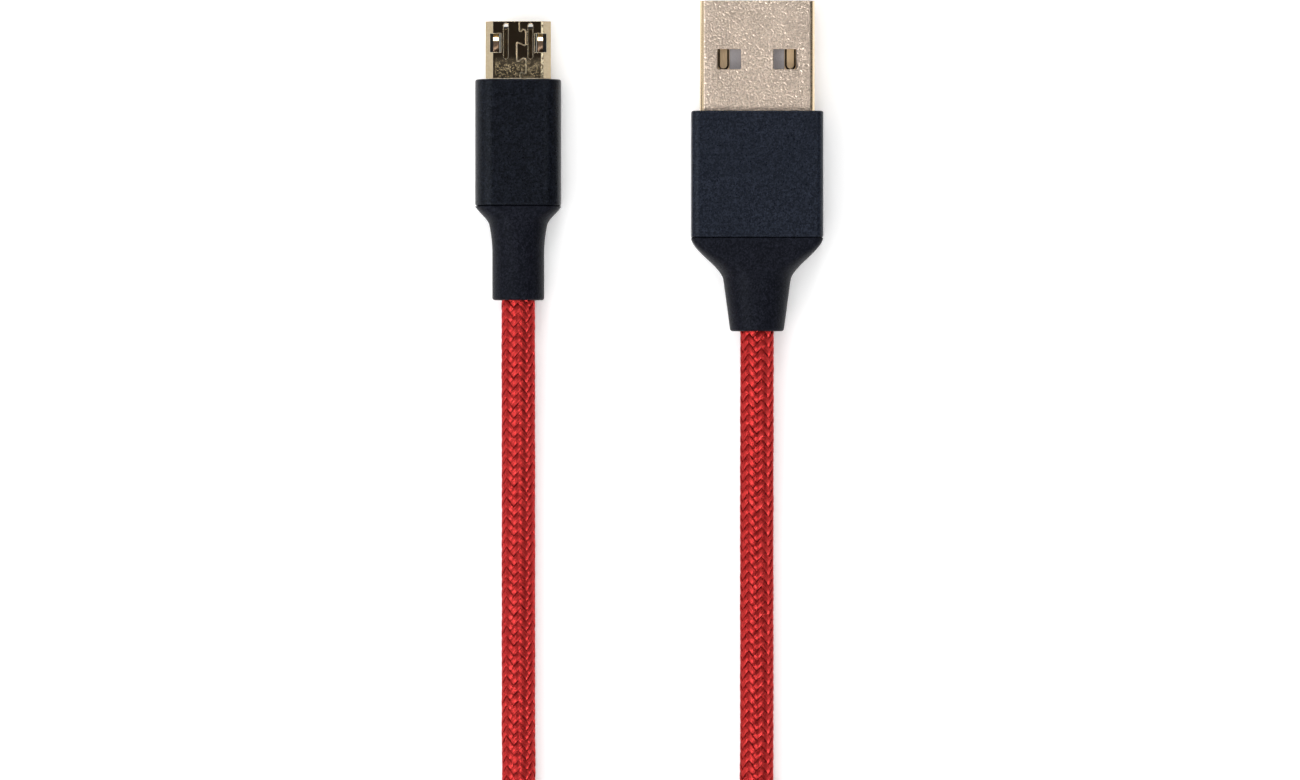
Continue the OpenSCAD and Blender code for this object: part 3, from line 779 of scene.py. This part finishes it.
def add_world():
    """A pale tent, dark overhead and on the right and dim behind. The camera sees a backdrop instead."""
    world = bpy.data.worlds.new("studio")
    bpy.context.scene.world = world
    world.use_nodes = True
    world.node_tree.nodes.clear()
    sky = Nodes(world.node_tree)
    where = sky.add("ShaderNodeTexCoord", "Generated")
    across = sky.add("ShaderNodeSeparateXYZ", 0, {"Vector": where})
    forward = sky.add("ShaderNodeSeparateXYZ", 1, {"Vector": where})
    height = sky.add("ShaderNodeSeparateXYZ", 2, {"Vector": where})
    low = sky.span(height, *LIT_Z, smooth=True)
    upper = sky.span(height, *RISE_Z, TENT_LOW, TENT_HIGH, smooth=True)
    behind = sky.span(forward, *BEHIND_Y, smooth=True)
    beside = sky.span(sky.math("ABSOLUTE", across), *BESIDE_X, BESIDE_LEAST, 1.0, smooth=True)
    lit = sky.math("MAXIMUM", sky.math("MULTIPLY", sky.math("SUBTRACT", 1.0, behind), beside), low)
    upper = sky.math("MULTIPLY", upper, sky.math("MULTIPLY_ADD", lit, 1 - TENT_BACK, TENT_BACK))
    sideways = sky.span(across, *RIGHT_X, smooth=True)
    right = sky.math("MULTIPLY", sideways, sky.span(forward, *RIGHT_Y, smooth=True))
    band = sky.math("MULTIPLY", *[sky.span(height, *edge, smooth=True) for edge in RIGHT_Z])
    dimmed = sky.math("MULTIPLY_ADD", sky.math("MULTIPLY", right, band), -TENT_DIM, 1.0)
    overhead = sky.span(height, *OVERHEAD_Z, smooth=True)
    tone = sky.blend(overhead, (1.0, 1.0, 1.0), TENT_OVERHEAD)
    strength = sky.math("MULTIPLY", upper, dimmed)
    around = sky.add("ShaderNodeBackground", 0, {"Color": tone, "Strength": strength})
    backdrop = sky.add("ShaderNodeBackground", 0, {"Color": BACKDROP})
    seen = sky.add("ShaderNodeLightPath", "Is Camera Ray")
    both = sky.add("ShaderNodeMixShader", 0, {0: seen, 1: around, 2: backdrop})
    sky.add_output(both)


def add_stage():
    corners = [(x * FLOOR_HALF, y * FLOOR_HALF, FLOOR_Z) for x, y in ((-1, -1), (1, -1), (1, 1), (-1, 1))]
    floor = mesh_object("floor", corners, [(0, 1, 2, 3)])
    floor.data.materials.append(floor_paint())


def light_only(lamp, pieces):
    """Keeps lamp off everything but pieces."""
    lit = bpy.data.collections.new(f"lit_by_{lamp.name}")
    for piece in pieces:
        lit.objects.link(piece)
    lamp.light_linking.receiver_collection = lit


def add_lights(cord_pieces):
    for name, place, size, power, gives in LAMPS:
        lamp = add_softbox(name, place, size, power)
        lamp.visible_diffuse = "gloss" not in gives
        lamp.visible_glossy = gives != "diffuse"
        if gives == "cord's gloss":
            light_only(lamp, cord_pieces)
    add_world()
    settings = bpy.context.scene.view_settings
    settings.view_transform = "Standard"
    bpy.context.scene.cycles.use_denoising = True


# ---- Putting pieces in place ----

def finish_piece(piece, material):
    """Gives a new piece its material and slot. Every new piece rides on the cable's own body."""
    piece.data.materials.append(material)
    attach(piece, "cable")
    return piece


def build_cord(red, core):
    """The braid in pieces, finer on the leads than on the coil, over one core, in place of the CAD cord's
    pieces, which are hidden.
    """
    route = Route(HOST_ROUTE + coil_points()[1:-1] + DEVICE_ROUTE[::-1])
    coil_end = route.length - DEVICE_LEAD
    pieces = [
        braid("braid_host_lead", route, 0, HOST_LEAD, LEAD_STEPS, LEAD_SECTION),
        braid("braid_device_lead", route, coil_end, route.length, LEAD_STEPS, LEAD_SECTION),
    ]
    cuts = np.linspace(HOST_LEAD, coil_end, COIL_PIECES + 1)
    for k in range(COIL_PIECES):
        pieces.append(braid(f"braid_coil_{k + 1}", route, cuts[k], cuts[k + 1], COIL_STEPS, COIL_SECTION))
    for piece in pieces:
        finish_piece(piece, red)
    inner = tube("cord_core", route, CORE_R, CORE_SIDES, CORE_STEP)
    finish_piece(inner, core)
    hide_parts("cord_host_lead", "cord_coil", "cord_device_lead")
    return [inner] + pieces


def outline(half_w, half_h, corner_r, y):
    """A rounded rectangle across Y, with the same number of points on each corner and side."""
    arcs = []
    for corner in range(4):
        x = (half_w - corner_r) * (1 if corner in (0, 3) else -1)
        z = (half_h - corner_r) * (-1 if corner < 2 else 1)
        arc = []
        for k in range(OUTLINE_ARC):
            angle = -math.pi / 2 * (corner + k / (OUTLINE_ARC - 1))
            arc.append((x + corner_r * math.cos(angle), y, z + corner_r * math.sin(angle)))
        arcs.append(arc)
    ring = []
    for corner, arc in enumerate(arcs):
        here, there = np.array(arc[-1]), np.array(arcs[(corner + 1) % 4][0])
        ring += arc
        ring += [tuple(mix(here, there, (k + 1) / (OUTLINE_SIDE + 1))) for k in range(OUTLINE_SIDE)]
    return ring


def circle(radius, y):
    return outline(radius, radius, radius * NEARLY_ROUND, y)


def boot_half(start, end, flare, shoulder, back):
    """Half the boot's width, back millimetres behind its front."""
    size, length, power = flare
    slope = max(0.0, 1 - back / length) ** power
    return end + size * slope + (start - end - size) * (1 - float(ease(back / shoulder)))


def build_boot(node, place, plug_size, corner, end, flare, shoulder):
    """One closed skin: from the bore, over the insert in the housing and along the boot to its lip."""
    half_w, half_h = plug_size[0] / 2, plug_size[2] / 2
    length = node_box(node)[1][1] - BOOT_INSERT
    front = -HOUSING_LEN

    def section(back):
        wide = boot_half(half_w, end, flare, shoulder, back)
        high = mix(half_h, end, float(ease(back / length)))
        return wide, high, mix(corner, NEARLY_ROUND * min(wide, high), float(ease(back / shoulder)))

    def shrunk(back, by, y):
        wide, high, round_r = section(back)
        return outline(wide - by, high - by, max(LEAST_CORNER, round_r - by), y)

    insert = (half_w - BOOT_WALL, half_h - BOOT_WALL, corner - BOOT_INSERT_ROUNDER)
    rings = [
        circle(BOOT_BORE, front + BOOT_INSERT),
        outline(*insert, front + BOOT_INSERT),
        outline(*insert, front - BOOT_SEAM_GAP),
    ]
    for k in range(BOOT_SEAM_ROWS):
        turn = math.pi / 2 * k / (BOOT_SEAM_ROWS - 1)
        y = front - BOOT_SEAM_GAP - BOOT_SEAM_EDGE * (1 - math.cos(turn))
        rings.append(shrunk(0, BOOT_SEAM_EDGE * (1 - math.sin(turn)), y))
    for k in range(1, BOOT_ROWS):
        far = (k / (BOOT_ROWS - 1)) ** BOOT_ROWS_SPREAD
        back = mix(BOOT_SEAM_GAP + BOOT_SEAM_EDGE, length - BOOT_LIP, far)
        rings.append(shrunk(back, 0, front - back))
    for k in range(1, BOOT_LIP_ROWS + 1):
        turn = math.pi / 2 * k / BOOT_LIP_ROWS
        y = front - length + BOOT_LIP - BOOT_LIP * math.sin(turn)
        rings.append(shrunk(length - BOOT_LIP, BOOT_LIP * (1 - math.cos(turn)), y))
    rings.append(circle(BOOT_BORE + BOOT_CHAMFER, front - length))
    rings.append(circle(BOOT_BORE, front - length + BOOT_CHAMFER))
    return loft(f"{node}_skin", np.array(rings) + place, closed=True)


def build_tie():
    """A strap closed round the coil, with its free end lapped over its own start on top."""
    middle = COIL_CENTRE[1] - (COIL_INNER + COIL_SPREAD / 2)
    half_w = (COIL_SPREAD + CORD_D) / 2 + TIE_SIDE_GAP
    half_h = COIL_PITCH + TIE_TOP_GAP
    path = [(TIE_START, half_h, 0.0, 1.0)]
    for side, (side_y, side_z) in enumerate(((1, 1), (1, -1), (-1, -1), (-1, 1))):
        for k in range(TIE_CORNER_STEPS + 1):
            angle = math.pi / 2 * (1 - side - k / TIE_CORNER_STEPS)
            path.append((
                side_y * (half_w - TIE_CORNER) + TIE_CORNER * math.cos(angle),
                side_z * (half_h - TIE_CORNER) + TIE_CORNER * math.sin(angle),
                math.cos(angle), math.sin(angle),
            ))
    path = np.array(path + [(y, half_h, 0.0, 1.0) for y in TIE_LAP])
    dense = []
    for here, there in zip(path[:-1], path[1:]):
        steps = max(1, int(np.linalg.norm((there - here)[:2]) / TIE_STEP))
        dense += [mix(here, there, k / steps) for k in range(steps)]
    dense = np.array(dense + [path[-1]])
    moved = np.linalg.norm(np.diff(dense[:, :2], axis=0), axis=1)
    travelled = np.concatenate([[0], np.cumsum(moved)])
    lap_start = travelled[-1] - TIE_LAP_LENGTH
    lifted = ease((travelled - lap_start) / TIE_LAP_RISE) * TIE_T
    rings = []
    for (y, z, out_y, out_z), lift, left in zip(dense, lifted, travelled[-1] - travelled):
        width = TIE_W * (1 - TIE_TIP_NARROWS * max(0.0, 1 - left / TIE_TIP_LENGTH) ** 3)
        rings.append([
            (
                COIL_CENTRE[0] + across * width,
                middle + y + out_y * (out * TIE_T + lift),
                TIE_T + half_h + z + out_z * (out * TIE_T + lift),
            )
            for across, out in TIE_SECTION
        ])
    widths = np.tile([across * TIE_W for across, out in TIE_SECTION], len(rings))
    lengths = np.repeat(travelled, len(TIE_SECTION))
    return mapped(loft("storage_tie", rings), "strap", np.stack([widths, lengths], axis=1))


def crease_group():
    """Geometry nodes that merge a mesh's loose corners and crease it where it turns by more than CREASE."""
    group = bpy.data.node_groups.new("creases", "GeometryNodeTree")
    group.interface.new_socket("Geometry", in_out="INPUT", socket_type="NodeSocketGeometry")
    group.interface.new_socket("Geometry", in_out="OUTPUT", socket_type="NodeSocketGeometry")
    nodes = Nodes(group)
    mesh = nodes.add("NodeGroupInput")
    merged = nodes.add("GeometryNodeMergeByDistance", 0, {"Geometry": mesh, "Distance": LOOSE * MM})
    smooth = nodes.add("GeometryNodeSetShadeSmooth", 0, {"Geometry": merged}, domain="FACE")
    turn = nodes.add("GeometryNodeInputMeshEdgeAngle", 0)
    sharp = nodes.math("GREATER_THAN", turn, CREASE)
    creased = nodes.add("GeometryNodeSetShadeSmooth", 0, {
        "Geometry": smooth, "Selection": sharp, "Shade Smooth": False,
    }, domain="EDGE")
    output = group.nodes.new("NodeGroupOutput")
    group.links.new(creased, output.inputs[0])
    return group


def polish(name, material, edge=0.0):
    """Gives a CAD node its finish, and creases its edges or rounds them by edge millimetres."""
    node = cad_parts[name]
    node.data.materials.clear()
    node.data.materials.append(material)
    creases = node.modifiers.new("creases", "NODES")
    creases.node_group = creasing
    if edge:
        bevel = node.modifiers.new("edges", "BEVEL")
        bevel.limit_method = "ANGLE"
        bevel.angle_limit = CREASE
        bevel.width = edge * MM
        bevel.segments = 3
    normals = node.modifiers.new("normals", "WEIGHTED_NORMAL")
    normals.weight = 100
    normals.keep_sharp = not edge


# ---- The cable ----

creasing = crease_group()
add_camera()
cord_pieces = build_cord(braid_red(), core_red())
add_stage()
add_lights(cord_pieces)

boot_paint = blasted("boot_black", (0.0035, 0.004, 0.0065), (0.0125, 0.0135, 0.0205), 0.14, 0.05, 0.42)
for node, shape in BOOTS.items():
    skin = finish_piece(build_boot(node, *shape), boot_paint)
    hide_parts(node)

tie = finish_piece(build_tie(), tie_black())
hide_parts("cable_tie")

navy = blasted("housing_navy", (0.004, 0.0055, 0.010), (0.0175, 0.0215, 0.034), 0.14, 0.2)
dark_navy = blasted("housing_navy_dark", (0.001, 0.0013, 0.0025), (0.0095, 0.0115, 0.018), 0.13, 0.16)
polish("host_housing", navy, HOUSING_EDGE)
polish("device_housing", dark_navy, HOUSING_EDGE)
polish("host_shell", gold_satin())
polish("device_shell", gold_bright())
# The white plastic is given a grey tone: painted shade for where it lies inside the shell.
white_plastic = plastic("white_plastic", (0.44, 0.425, 0.445), 0.5)
polish("host_tongue", white_plastic, TONGUE_EDGE)
black_plastic = plastic("insulator_black", (0.012, 0.012, 0.013), 0.5)
for name in ("device_insulator", "device_tongue"):
    polish(name, black_plastic)
mould = plastic("mould_black", (0.015, 0.015, 0.017), 0.6)
for name in ("host_inner_mould", "device_inner_mould"):
    polish(name, mould)
host_contact = host_plated()
contact = plated("contact_gold", (0.85, 0.66, 0.40), 0.16)
latch = latch_gold()
tin = plated("solder_tin", (0.75, 0.76, 0.78), 0.35)
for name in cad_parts:
    if "_contact_" in name:
        polish(name, host_contact if name.startswith("host") else contact)
    if "_latch_" in name:
        polish(name, latch)
    if "_tail_" in name:
        polish(name, tin)
polish("device_circuit_board", board_green(), BOARD_EDGE)
insulation = {
    "power": ("wire_red", (0.5, 0.02, 0.02)),
    "data_minus": ("wire_white", (0.8, 0.8, 0.78)),
    "data_plus": ("wire_green", (0.03, 0.28, 0.06)),
    "ground": ("wire_black", (0.015, 0.015, 0.015)),
}
for line, (slot, colour) in insulation.items():
    paint = plastic(slot, colour, 0.35)
    for plug in ("host", "device"):
        polish(f"{plug}_wire_{line}", paint)
